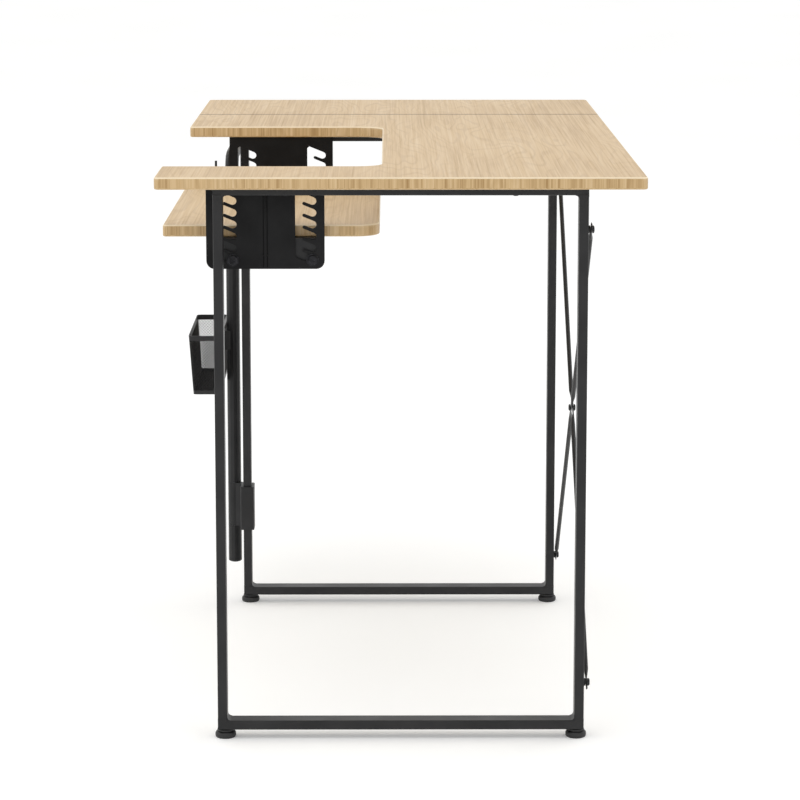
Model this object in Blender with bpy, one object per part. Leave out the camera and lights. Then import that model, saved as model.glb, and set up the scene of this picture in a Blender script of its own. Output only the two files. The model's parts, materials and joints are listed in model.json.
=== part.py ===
"""Sewing table: a wood-grain board top on two steel end frames.

The machine platform hangs in a notch of the top, on comb plates with six heights.
One end of the top is a drop leaf, held up by an arm that swings on a round post.
The post also carries a mesh basket and a tool hook, and an X brace ties the back legs.

Metres, +Z up, floor at z = 0. +X runs along the top away from the drop leaf,
and -Y is the side where the user sits.
"""

import math

import bmesh
import bpy
from mathutils import Matrix, Vector

# Top, leaf and platform boards
TOP_Z = 0.762
BOARD = 0.016
UNDER_Z = TOP_Z - BOARD
LENGTH = 1.156
DEPTH = 0.635
SEAM_X = -0.308
SEAM_GAP = 0.0020
BOARD_CORNER = 0.007
BOARD_ROUND = 0.0014
NOTCH_FAR_X = -0.103
NOTCH_NEAR_X = 0.444
NOTCH_BACK_Y = -0.025
NOTCH_CORNER = 0.033
PLATFORM_GAP = 0.003
PLATFORM_DROP = 0.079

# End frames of rectangular tube
TUBE_THIN = 0.0127
TUBE_WIDE = 0.0254
TUBE_WALL = 0.0015
TUBE_ROUND = 0.0016
FRAME_HALF_DEPTH = 0.245
FRAME_LOW_Z = 0.0125
FRAME_XS = {"near": 0.5183, "far": -0.1807}
GAP = 0.0003

# Levelling feet
FOOT_RADIUS = 0.014
FOOT_TOP_Z = 0.0115
FOOT_Y = 0.2352
STEM_RADIUS = 0.004

# Comb plates, hanger brackets and their bolts
PLATE = 0.002
PLATE_BACK_Y = -0.101
PLATE_FRONT_Y = -0.2585
PLATE_LOW_Z = 0.626
PLATE_CORNER = 0.011
PLATE_FLANGE = 0.020
PLATE_SETBACK = 0.012
COMB_PITCH = 0.0158
COMB_SLOTS = 6
COMB_TILT = math.radians(22)
SLOT_WIDTH = 0.0104
FINGER = COMB_PITCH * math.cos(COMB_TILT) - SLOT_WIDTH
CHANNEL_WIDTH = 0.0095
CHANNEL_OFFSET = 0.0230
SEAT_YS = (-0.117, -0.223)
LOW_SEAT_Z = 0.638
BOLT_HEAD_RADIUS = 0.00875
BOLT_HEAD = 0.0032
BRACKET_Y = (-0.250, -0.1075)
BRACKET_CLEARANCE = 0.0023

# X brace of round rod with flattened ends
ROD_RADIUS = 0.0032
ROD_FLAT = 0.0011
BRACE_HIGH_Z = 0.687
BRACE_LOW_Z = 0.075
BRACE_Y = 0.2490

# Support arm: a round post that turns on its own axis and bends under the leaf
ARM_RADIUS = 0.0105
ARM_WALL = 0.0018
ARM_X = -0.206
ARM_Y = -0.2604
ARM_Z = 0.706
ARM_BEND = 0.030
ARM_REACH = 0.168
ARM_LOW_Z = 0.0625
PIN_RADIUS = ARM_RADIUS - ARM_WALL - GAP
LOW_BRACKET_Z = (0.119, 0.188)
HIGH_BRACKET_Z = (0.560, 0.600)
COLLAR_WALL = 0.004
REST_BLOCK = (0.028, 0.016)
REST_BLOCK_REACH = 0.150

# Leaf hinges
HINGE_AXIS_Z = UNDER_Z - 0.0036
HINGE_YS = {"front": -0.190, "back": 0.190}
HINGE_LENGTH = 0.060
HINGE_WING = 0.0015
HINGE_REACH = 0.034
KNUCKLE_RADIUS = 0.0030
HINGE_PIN_RADIUS = 0.0013

# Basket and hook on the post
BASKET_X = (-0.281, -0.077)
BASKET_Y = (-0.322, -0.2745)
BASKET_Z = (0.352, 0.444)
BASKET_TAPER = 0.006
BASKET_WALL = 0.0012
HOOK_RADIUS = 0.002


def clear_scene():
    for obj in list(bpy.data.objects):
        bpy.data.objects.remove(obj, do_unlink=True)


def make_material(name, colour, metallic, roughness):
    material = bpy.data.materials.new(name)
    material.use_nodes = True
    shader = material.node_tree.nodes["Principled BSDF"]
    shader.inputs["Base Color"].default_value = (*colour, 1.0)
    shader.inputs["Metallic"].default_value = metallic
    shader.inputs["Roughness"].default_value = roughness
    return material


FINISHES = {
    "wood": ((0.68, 0.52, 0.36), 0.0, 0.5),
    "coat": ((0.035, 0.035, 0.037), 0.3, 0.45),
    "plastic": ((0.02, 0.02, 0.02), 0.0, 0.55),
    "steel": ((0.5, 0.5, 0.5), 1.0, 0.35),
}


def make_object(name, bm, finish, origin=(0, 0, 0), smooth=30):
    """Turn bm, drawn in place, into an object whose origin is at the given point."""
    bmesh.ops.recalc_face_normals(bm, faces=bm.faces)
    bmesh.ops.translate(bm, vec=-Vector(origin), verts=bm.verts)
    mesh = bpy.data.meshes.new(name)
    bm.to_mesh(mesh)
    bm.free()
    mesh.shade_smooth()
    mesh.set_sharp_from_angle(angle=math.radians(smooth))
    obj = bpy.data.objects.new(name, mesh)
    obj.location = origin
    bpy.context.collection.objects.link(obj)
    obj.data.materials.append(make_material(name, *FINISHES[finish]))
    return obj


def combine(target, tool, operation):
    """Add a live Boolean to target. The tool stays as a hidden wire object."""
    tool.hide_render = True
    tool.display_type = "WIRE"
    modifier = target.modifiers.new(operation.title(), "BOOLEAN")
    modifier.operation = operation
    modifier.solver = "EXACT"
    modifier.object = tool


def arc(centre, radius, start, end, steps):
    """Points on an arc, angles in degrees."""
    points = []
    for i in range(steps + 1):
        a = math.radians(start + (end - start) * i / steps)
        points.append((centre[0] + radius * math.cos(a), centre[1] + radius * math.sin(a)))
    return points


def rounded(corners, steps=4):
    """Outline through the corners (u, v, radius), each one rounded by a tangent arc."""
    outline = []
    for i, (u, v, radius) in enumerate(corners):
        here = Vector((u, v))
        if radius <= 0:
            outline.append((u, v))
            continue
        before = (Vector(corners[i - 1][:2]) - here).normalized()
        after = (Vector(corners[(i + 1) % len(corners)][:2]) - here).normalized()
        half = before.angle(after) / 2
        centre = here + (before + after).normalized() * radius / math.sin(half)
        start = here + before * radius / math.tan(half) - centre
        end = here + after * radius / math.tan(half) - centre
        for k in range(steps + 1):
            point = start.normalized().slerp(end.normalized(), k / steps) * radius
            outline.append(tuple(centre + point))
    return outline


def prism(outline, low, high, axis="Z"):
    """A closed solid: the outline drawn across the axis and extruded along it."""
    place = {
        "X": lambda u, v: (low, u, v),
        "Y": lambda u, v: (u, low, v),
        "Z": lambda u, v: (u, v, low),
    }[axis]
    bm = bmesh.new()
    face = bm.faces.new([bm.verts.new(place(u, v)) for u, v in outline])
    result = bmesh.ops.extrude_face_region(bm, geom=[face])
    moved = [v for v in result["geom"] if isinstance(v, bmesh.types.BMVert)]
    step = {"X": (high - low, 0, 0), "Y": (0, high - low, 0), "Z": (0, 0, high - low)}[axis]
    bmesh.ops.translate(bm, vec=step, verts=moved)
    return bm


def box(x, y, z):
    return prism([(x[0], y[0]), (x[1], y[0]), (x[1], y[1]), (x[0], y[1])], z[0], z[1])


def cylinder(centre, radius, length, axis="Z", segments=24):
    """A cylinder standing on its centre point and running along the axis."""
    turn = {
        "X": Matrix.Rotation(math.radians(90), 4, "Y"),
        "Y": Matrix.Rotation(math.radians(-90), 4, "X"),
        "Z": Matrix.Identity(4),
    }[axis]
    bm = bmesh.new()
    bmesh.ops.create_cone(
        bm,
        cap_ends=True,
        segments=segments,
        radius1=radius,
        radius2=radius,
        depth=abs(length),
        matrix=Matrix.Translation(centre) @ turn @ Matrix.Translation((0, 0, length / 2)),
    )
    return bm


def turned(profile, centre, axis="Z", segments=24):
    """A solid of revolution. The profile is (radius, height) from the axis to the axis."""
    bm = bmesh.new()
    verts = [bm.verts.new((r, 0, h)) for r, h in profile]
    edges = [bm.edges.new(pair) for pair in zip(verts, verts[1:])]
    bmesh.ops.spin(
        bm,
        geom=verts + edges,
        cent=(0, 0, 0),
        axis=(0, 0, 1),
        angle=math.tau,
        steps=segments,
        use_merge=True,
    )
    bmesh.ops.remove_doubles(bm, verts=bm.verts, dist=1e-6)
    turn = {
        "X": Matrix.Rotation(math.radians(90), 4, "Y"),
        "-X": Matrix.Rotation(math.radians(-90), 4, "Y"),
        "Y": Matrix.Rotation(math.radians(-90), 4, "X"),
        "-Y": Matrix.Rotation(math.radians(90), 4, "X"),
        "Z": Matrix.Identity(4),
        "-Z": Matrix.Rotation(math.radians(180), 4, "X"),
    }[axis]
    bmesh.ops.transform(bm, matrix=Matrix.Translation(centre) @ turn, verts=bm.verts)
    return bm


def loft(stations, segments=12):
    """A closed rod through elliptical stations (matrix, half width, half thickness)."""
    bm = bmesh.new()
    last = None
    for i, (matrix, wide, thin) in enumerate(stations):
        ends = i in (0, len(stations) - 1)
        ring = bmesh.ops.create_circle(
            bm,
            cap_ends=ends,
            segments=segments,
            radius=1,
            matrix=matrix @ Matrix.Diagonal((wide, thin, 1, 1)),
        )["verts"]
        loop = [e for e in bm.edges if e.verts[0] in ring and e.verts[1] in ring]
        if last:
            bmesh.ops.bridge_loops(bm, edges=last + loop)
        last = loop
    return bm


def pipe(name, points, radius, finish, wall=0, sides=20):
    """A round rod, or with a wall a tube with open ends, along the points."""
    curve = bpy.data.curves.new(name, "CURVE")
    curve.dimensions = "3D"
    curve.bevel_depth = radius
    curve.bevel_resolution = sides // 4 - 1
    curve.use_fill_caps = wall == 0
    spline = curve.splines.new("POLY")
    spline.points.add(len(points) - 1)
    for point, at in zip(spline.points, points):
        point.co = (*at, 1)
    obj = bpy.data.objects.new(name, curve)
    bpy.context.collection.objects.link(obj)
    curve.materials.append(make_material(name, *FINISHES[finish]))
    if wall:
        shell = obj.modifiers.new("Wall", "SOLIDIFY")
        shell.thickness = wall
        shell.offset = -1
    return obj


# Boards


def soften(board):
    """The small round along a board's edges."""
    bevel = board.modifiers.new("Edge round", "BEVEL")
    bevel.width = BOARD_ROUND
    bevel.segments = 2
    bevel.limit_method = "ANGLE"
    bevel.angle_limit = math.radians(40)


def build_boards():
    near, far = LENGTH / 2, -LENGTH / 2
    front, back = -DEPTH / 2, DEPTH / 2
    edge = SEAM_X + SEAM_GAP / 2
    r = BOARD_CORNER
    top = rounded(
        [
            (edge, front, 0.001),
            (NOTCH_FAR_X, front, 0.004),
            (NOTCH_FAR_X, NOTCH_BACK_Y, NOTCH_CORNER),
            (NOTCH_NEAR_X, NOTCH_BACK_Y, NOTCH_CORNER),
            (NOTCH_NEAR_X, front, 0.004),
            (near, front, r),
            (near, back, r),
            (edge, back, 0.001),
        ]
    )
    soften(make_object("main_top", prism(top, UNDER_Z, TOP_Z), "wood"))

    edge = SEAM_X - SEAM_GAP / 2
    leaf = rounded([(far, front, r), (edge, front, 0.001), (edge, back, 0.001), (far, back, r)])
    soften(
        make_object(
            "drop_leaf",
            prism(leaf, UNDER_Z, TOP_Z),
            "wood",
            origin=(SEAM_X, 0, HINGE_AXIS_Z),
        )
    )

    gap = PLATFORM_GAP
    platform = rounded(
        [
            (NOTCH_FAR_X + gap, front, 0.004),
            (NOTCH_NEAR_X - gap, front, 0.004),
            (NOTCH_NEAR_X - gap, NOTCH_BACK_Y - gap, NOTCH_CORNER),
            (NOTCH_FAR_X + gap, NOTCH_BACK_Y - gap, NOTCH_CORNER),
        ]
    )
    low = UNDER_Z - PLATFORM_DROP
    soften(
        make_object("machine_platform", prism(platform, low, low + BOARD), "wood", (0, 0, low))
    )


# End frames


def tube_outline(half_u, half_v, centre, inset=0.0):
    u, v, r = half_u - inset, half_v - inset, max(TUBE_ROUND - inset, 0.0004)
    cu, cv = centre
    return rounded(
        [(cu - u, cv - v, r), (cu + u, cv - v, r), (cu + u, cv + v, r), (cu - u, cv + v, r)],
        steps=2,
    )


def hollow(name, half_u, half_v, centre, low, high, axis, ends=0.0):
    """A rectangular tube along the axis. Walls of thickness ends close it off."""
    tube = make_object(name, prism(tube_outline(half_u, half_v, centre), low, high, axis), "coat")
    inner = tube_outline(half_u, half_v, centre, TUBE_WALL)
    reach = 0.005 if ends == 0 else -ends
    core = make_object(name + "_core", prism(inner, low - reach, high + reach, axis), "coat")
    combine(tube, core, "DIFFERENCE")
    return tube


def build_frame(side, x):
    half_wide, half_thin = TUBE_WIDE / 2, TUBE_THIN / 2
    rail_low = FRAME_LOW_Z + TUBE_THIN
    rail_high = UNDER_Z - GAP - TUBE_THIN
    for end, sign in (("front", -1), ("back", 1)):
        y = sign * (FRAME_HALF_DEPTH - half_thin)
        hollow(
            f"{side}_leg_{end}",
            half_wide,
            half_thin,
            (x, y),
            rail_low + GAP,
            rail_high - GAP,
            "Z",
        )
    heights = {"bottom": FRAME_LOW_Z, "top": rail_high}
    for level, z in heights.items():
        rail = hollow(
            f"{side}_{level}_rail",
            half_wide,
            half_thin,
            (x, z + half_thin),
            -FRAME_HALF_DEPTH,
            FRAME_HALF_DEPTH,
            "Y",
            ends=TUBE_WALL,
        )
        for sign in (-1, 1):
            y = sign * (FOOT_Y if level == "bottom" else 0.150)
            radius = STEM_RADIUS + GAP if level == "bottom" else 0.0025
            depth = TUBE_THIN / 2 if level == "bottom" else TUBE_THIN + 0.004
            hole = make_object(
                f"{rail.name}_hole_{'front' if sign < 0 else 'back'}",
                cylinder((x, y, z - 0.002), radius, depth, segments=16),
                "coat",
            )
            combine(rail, hole, "DIFFERENCE")


def build_foot(name, x, y):
    """A bulged round glide with a necked top, on its stem."""
    profile = [
        (0, 0),
        (0.0118, 0),
        (0.0134, 0.0012),
        (FOOT_RADIUS, 0.0036),
        (0.0134, 0.0062),
        (0.0120, 0.0076),
        (0.0085, 0.0082),
        (0.0085, 0.0094),
        (0.0100, 0.0100),
        (0.0100, FOOT_TOP_Z),
        (STEM_RADIUS, FOOT_TOP_Z),
        (STEM_RADIUS, 0.0228),
        (0, 0.0228),
    ]
    make_object(name, turned(profile, (x, y, 0)), "plastic", origin=(x, y, 0))


def build_nut(name, centre, across, height, axis, hole=0.0):
    """A hexagon nut, pierced where hole is a radius."""
    radius = across / 2 / math.cos(math.pi / 6)
    nut = make_object(name, cylinder(centre, radius, height, axis, segments=6), "steel")
    if hole:
        start = Vector(centre)
        start["XYZ".index(axis)] -= math.copysign(0.002, height)
        reach = height + math.copysign(0.004, height)
        bore = make_object(name + "_bore", cylinder(start, hole, reach, axis, 16), "steel")
        combine(nut, bore, "DIFFERENCE")
    return nut


def build_feet():
    for side, x in FRAME_XS.items():
        for end, sign in (("front", -1), ("back", 1)):
            build_foot(f"foot_{side}_{end}", x, sign * FOOT_Y)
            build_nut(
                f"foot_nut_{side}_{end}",
                (x, sign * FOOT_Y, FRAME_LOW_Z + TUBE_WALL + GAP),
                0.013,
                0.0065,
                "Z",
                hole=STEM_RADIUS + GAP,
            )


# Comb plates and the platform's hangers


def comb_window(seat_y):
    """Outline of one comb: a vertical channel with sloping slots on its +Y side."""
    along = Vector((-math.cos(COMB_TILT), math.sin(COMB_TILT)))
    across = Vector((math.sin(COMB_TILT), math.cos(COMB_TILT)))
    tilt = math.degrees(COMB_TILT)
    left = seat_y - CHANNEL_OFFSET
    tips = left + CHANNEL_WIDTH
    seats = [
        Vector((seat_y, LOW_SEAT_Z + COMB_PITCH * i)) for i in reversed(range(COMB_SLOTS))
    ]

    def on_left(point):
        return point + along * (point.x - left) / math.cos(COMB_TILT)

    high = on_left(seats[0] + across * SLOT_WIDTH / 2)
    low = on_left(seats[-1] - across * SLOT_WIDTH / 2)
    outline = [(left, low.y + 0.002), (left, high.y - 0.004), (left + 0.003, high.y - 0.0012)]
    for i, seat in enumerate(seats):
        outline += arc(seat, SLOT_WIDTH / 2, 90 - tilt, -90 - tilt, 8)
        if i < len(seats) - 1:
            middle = seat - across * (SLOT_WIDTH + FINGER) / 2
            reach = (middle.x - tips - FINGER / 2) / math.cos(COMB_TILT)
            outline += arc(middle + along * reach, FINGER / 2, 90 - tilt, 270 - tilt, 4)
    outline.append((left + 0.002, low.y - 0.0008))
    return outline


def build_plate(name, face_x, outward):
    """A comb plate. face_x is the face on the notch's side, outward points away from it."""
    far_x = face_x + outward * PLATE
    top = UNDER_Z - GAP
    outline = rounded(
        [
            (PLATE_FRONT_Y, PLATE_LOW_Z, PLATE_CORNER),
            (PLATE_BACK_Y, PLATE_LOW_Z, PLATE_CORNER),
            (PLATE_BACK_Y, top, 0),
            (PLATE_FRONT_Y, top, 0),
        ],
        steps=6,
    )
    plate = make_object(name, prism(outline, min(face_x, far_x), max(face_x, far_x), "X"), "coat")
    edge = face_x + outward * PLATE_FLANGE
    flange = make_object(
        name + "_flange",
        box(
            sorted((face_x + outward * PLATE / 2, edge)),
            (PLATE_FRONT_Y, PLATE_BACK_Y),
            (top - PLATE, top),
        ),
        "coat",
    )
    combine(plate, flange, "UNION")
    for number, seat_y in enumerate(SEAT_YS, 1):
        window = make_object(
            f"{name}_window_{number}",
            prism(comb_window(seat_y), min(face_x, far_x) - 0.003, max(face_x, far_x) + 0.003, "X"),
            "coat",
        )
        combine(plate, window, "DIFFERENCE")


def build_hanger(side, face_x, outward):
    """The L bracket under the platform, its two bolts and their nuts."""
    flange_x = face_x - outward * BRACKET_CLEARANCE
    inner_x = flange_x - outward * PLATE
    top = UNDER_Z - PLATFORM_DROP - GAP
    low = PLATE_LOW_Z + 0.001
    reach = flange_x - outward * 0.050
    profile = [
        (flange_x, top),
        (reach, top),
        (reach, top - PLATE),
        (inner_x, top - PLATE),
        (inner_x, low),
        (flange_x, low),
    ]
    bracket = make_object(
        f"{side}_platform_bracket",
        prism(profile, BRACKET_Y[0], BRACKET_Y[1], "Y"),
        "coat",
        origin=(0, 0, top),
    )
    for number, seat_y in enumerate(SEAT_YS, 1):
        seat = (face_x, seat_y, LOW_SEAT_Z)
        hole = make_object(
            f"{bracket.name}_hole_{number}",
            cylinder((inner_x - outward * 0.002, seat_y, LOW_SEAT_Z), 0.0032, 0.006 * outward, "X"),
            "coat",
        )
        combine(bracket, hole, "DIFFERENCE")
        build_nut(
            f"{side}_platform_nut_{number}",
            (inner_x - outward * GAP, seat_y, LOW_SEAT_Z),
            0.013,
            -0.005 * outward,
            "X",
        )
        head = [
            (0, 0.0012),
            (0.0028, 0.0012),
            (0.0030, BOLT_HEAD),
            (0.0062, BOLT_HEAD),
            (0.0080, BOLT_HEAD - 0.0008),
            (BOLT_HEAD_RADIUS, BOLT_HEAD - 0.0020),
            (BOLT_HEAD_RADIUS, 0),
            (0, 0),
        ]
        start = (face_x + outward * (PLATE + GAP), seat_y, LOW_SEAT_Z)
        direction = "X" if outward > 0 else "-X"
        bolt = turned(head, start, direction)
        make_object(f"{side}_platform_bolt_{number}", bolt, "coat", origin=seat)


def build_combs():
    near_face = NOTCH_NEAR_X + PLATE_SETBACK
    far_face = NOTCH_FAR_X - PLATE_SETBACK
    build_plate("near_slotted_plate", near_face, 1)
    build_plate("far_slotted_plate", far_face, -1)
    build_hanger("near", near_face, 1)
    build_hanger("far", far_face, -1)


# X brace


def build_rod(name, start, end, bow):
    """One brace rod. It is flattened at both ends and at the crossing, bowed by bow in Y."""
    start, end = Vector(start), Vector(end)
    run = (end - start).normalized()
    wide = Vector((0, 1, 0)).cross(run)
    length = (end - start).length
    frame = Matrix((wide, Vector((0, 1, 0)), run)).transposed().to_4x4()
    half = length / 2
    shape = [
        (0.000, 0.0032, ROD_FLAT, 0),
        (0.0025, 0.0062, ROD_FLAT, 0),
        (0.016, 0.0062, ROD_FLAT, 0),
        (0.030, ROD_RADIUS, ROD_RADIUS, 0),
        (half - 0.030, ROD_RADIUS, ROD_RADIUS, 0),
        (half - 0.012, 0.0055, ROD_FLAT, bow),
    ]
    mirrored = [(length - at, w, t, b) for at, w, t, b in reversed(shape)]
    extra = 0.010
    stations = []
    for at, w, t, b in shape + mirrored:
        along = at * (length + 2 * extra) / length - extra
        point = start + run * along + Vector((0, b, 0))
        stations.append((Matrix.Translation(point) @ frame, w, t))
    make_object(name, loft(stations), "coat")


def build_brace():
    near, far = FRAME_XS["near"], FRAME_XS["far"]
    step = ROD_FLAT + GAP / 2
    build_rod("brace_rod_rising", (far, BRACE_Y, BRACE_LOW_Z), (near, BRACE_Y, BRACE_HIGH_Z), -step)
    build_rod("brace_rod_falling", (far, BRACE_Y, BRACE_HIGH_Z), (near, BRACE_Y, BRACE_LOW_Z), step)
    face = FRAME_HALF_DEPTH + GAP
    tab_low = BRACE_Y - ROD_FLAT
    tab_high = BRACE_Y + ROD_FLAT
    ends = {
        "near_high": (near, BRACE_HIGH_Z),
        "near_low": (near, BRACE_LOW_Z),
        "far_high": (far, BRACE_HIGH_Z),
        "far_low": (far, BRACE_LOW_Z),
    }
    for end, (x, z) in ends.items():
        washer = turned(
            [(0, 0), (0.0052, 0), (0.0052, tab_low - GAP - face), (0, tab_low - GAP - face)],
            (x, face, z),
            "Y",
            16,
        )
        make_object(f"brace_washer_{end}", washer, "coat")
        head = [(0, 0), (0.0052, 0), (0.0052, 0.0016), (0.0036, 0.0026), (0, 0.0028)]
        bolt = turned(head, (x, tab_high + GAP, z), "Y", 16)
        make_object(f"brace_bolt_{end}", bolt, "coat")
    middle = ((near + far) / 2, BRACE_Y, (BRACE_HIGH_Z + BRACE_LOW_Z) / 2)
    outer = 2 * ROD_FLAT + GAP / 2 + GAP
    for side, direction, offset in (("back", "Y", outer), ("front", "-Y", -outer)):
        head = [(0, 0), (0.0048, 0), (0.0048, 0.0016), (0.0032, 0.0024), (0, 0.0026)]
        point = (middle[0], middle[1] + offset, middle[2])
        make_object(f"brace_rivet_{side}", turned(head, point, direction, 16), "coat")


# Support arm


def arm_point(reach, z=ARM_Z):
    """A point on the horizontal arm, reach metres out from the post's axis."""
    return (ARM_X - reach, ARM_Y, z)


def build_collar(name, heights, bore):
    """A collar round the far front leg, with a barrel for the post on its corner."""
    low, high = heights
    leg_x = FRAME_XS["far"]
    leg_y = -(FRAME_HALF_DEPTH - TUBE_THIN / 2)
    half_x = TUBE_WIDE / 2 + GAP
    half_y = TUBE_THIN / 2 + GAP
    wall = COLLAR_WALL
    outline = rounded(
        [
            (leg_x - half_x - wall, leg_y - half_y - wall, 0.003),
            (leg_x + half_x + wall, leg_y - half_y - wall, 0.003),
            (leg_x + half_x + wall, leg_y + half_y + wall, 0.003),
            (leg_x - half_x - wall, leg_y + half_y + wall, 0.003),
        ]
    )
    collar = make_object(name, prism(outline, low, high), "coat", origin=(ARM_X, ARM_Y, low))
    web = [
        (ARM_X - 0.006, ARM_Y + 0.003),
        (ARM_X + 0.006, ARM_Y - 0.006),
        (leg_x - half_x + 0.004, leg_y - half_y - wall + 0.001),
        (leg_x - half_x - wall + 0.001, leg_y - half_y + 0.004),
    ]
    for suffix, bm in (
        ("_web", prism(web, low, high)),
        ("_barrel", cylinder((ARM_X, ARM_Y, low), bore[1], high - low)),
    ):
        combine(collar, make_object(name + suffix, bm, "coat"), "UNION")
    passage = box(
        (leg_x - half_x, leg_x + half_x),
        (leg_y - half_y, leg_y + half_y),
        (low - 0.002, high + 0.002),
    )
    for suffix, bm in (
        ("_passage", passage),
        ("_bore", cylinder((ARM_X, ARM_Y, low - 0.002), bore[0], high - low + 0.004)),
    ):
        combine(collar, make_object(name + suffix, bm, "coat"), "DIFFERENCE")


def build_arm():
    low = LOW_BRACKET_Z[1] + GAP * 2
    points = [(ARM_X, ARM_Y, low), (ARM_X, ARM_Y, ARM_Z - ARM_BEND)]
    centre = (ARM_X - ARM_BEND, ARM_Z - ARM_BEND)
    for x, z in arc(centre, ARM_BEND, 0, 90, 8)[1:]:
        points.append((x, ARM_Y, z))
    points.append(arm_point(ARM_REACH))
    pipe("arm_tube", points, ARM_RADIUS, "coat", wall=ARM_WALL)
    pipe(
        "arm_tube_lower",
        [(ARM_X, ARM_Y, ARM_LOW_Z), (ARM_X, ARM_Y, LOW_BRACKET_Z[0] - GAP * 2)],
        ARM_RADIUS,
        "coat",
        wall=ARM_WALL,
    )
    pin_low = ARM_LOW_Z + 0.004
    pin = cylinder((ARM_X, ARM_Y, pin_low), PIN_RADIUS, 0.235 - pin_low)
    make_object("arm_pivot_pin", pin, "steel", origin=(ARM_X, ARM_Y, pin_low))
    cap = [
        (0, -0.003),
        (0.0055, -0.0027),
        (0.0090, -0.0014),
        (ARM_RADIUS, 0),
        (ARM_RADIUS, 0.0012),
        (PIN_RADIUS, 0.0012),
        (PIN_RADIUS, 0.0048),
        (0, 0.0048),
    ]
    foot = turned(cap, (ARM_X, ARM_Y, ARM_LOW_Z - 0.0012 - GAP), "Z")
    make_object("arm_bottom_cap", foot, "plastic")
    tip = turned(cap, arm_point(ARM_REACH + 0.0012 + GAP), "X")
    make_object("arm_end_cap", tip, "plastic")
    build_collar("lower_pivot_bracket", LOW_BRACKET_Z, (PIN_RADIUS + GAP, ARM_RADIUS))
    build_collar("upper_pivot_bracket", HIGH_BRACKET_Z, (ARM_RADIUS + GAP, ARM_RADIUS + 0.004))

    x, y, z = arm_point(REST_BLOCK_REACH, ARM_Z + ARM_RADIUS + GAP)
    half_x, half_y = REST_BLOCK[0] / 2, REST_BLOCK[1] / 2
    block = box((x - half_x, x + half_x), (y - half_y, y + half_y), (z, UNDER_Z - GAP))
    make_object("leaf_rest_block", block, "plastic", origin=(SEAM_X, 0, HINGE_AXIS_Z))


# Basket and hook


def basket_shell(inset, low, high):
    """The tapered box of the basket, shrunk by inset. Its back stays upright."""
    bm = bmesh.new()
    depth = BASKET_Z[1] - BASKET_Z[0]
    rings = []
    for z in (low, high):
        lean = BASKET_TAPER * (BASKET_Z[1] - z) / depth + inset
        x0, x1 = BASKET_X[0] + lean, BASKET_X[1] - lean
        y0, y1 = BASKET_Y[0] + lean, BASKET_Y[1] - inset
        corners = [(x0, y0, 0.006), (x1, y0, 0.006), (x1, y1, 0.002), (x0, y1, 0.002)]
        rings.append([bm.verts.new((x, y, z)) for x, y in rounded(corners, steps=3)])
    bm.faces.new(rings[0])
    bm.faces.new(rings[1])
    for i in range(len(rings[0])):
        bm.faces.new((rings[0][i - 1], rings[0][i], rings[1][i], rings[1][i - 1]))
    return bm


def build_basket():
    low, high = BASKET_Z
    basket = make_object("basket", basket_shell(0, low, high), "coat", origin=(ARM_X, ARM_Y, low))
    hollow_part = basket_shell(BASKET_WALL, low + BASKET_WALL, high + 0.002)
    combine(basket, make_object("basket_hollow", hollow_part, "coat"), "DIFFERENCE")

    back_y = BASKET_Y[1] + GAP
    cradle = rounded(
        [
            (ARM_X - 0.0100, back_y, 0),
            (ARM_X + 0.0100, back_y, 0),
            (ARM_X + 0.0100, ARM_Y - 0.0040, 0),
            (ARM_X - 0.0100, ARM_Y - 0.0040, 0),
        ]
    )
    clip = make_object("basket_clip", prism(cradle, 0.402, 0.432), "plastic")
    seat = cylinder((ARM_X, ARM_Y, 0.400), ARM_RADIUS + GAP, 0.034)
    combine(clip, make_object("basket_clip_seat", seat, "plastic"), "DIFFERENCE")

    start = ARM_Y - ARM_RADIUS - GAP
    tip_y = ARM_Y - 0.0246
    base = 0.672
    points = [(ARM_X, start, base), (ARM_X, tip_y + 0.008, base)]
    for y, z in arc((tip_y + 0.008, base + 0.008), 0.008, 270, 180, 5)[1:]:
        points.append((ARM_X, y, z))
    points.append((ARM_X, tip_y, 0.699))
    pipe("tool_hook", points, HOOK_RADIUS, "coat", sides=8)


# Leaf hinges


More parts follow.
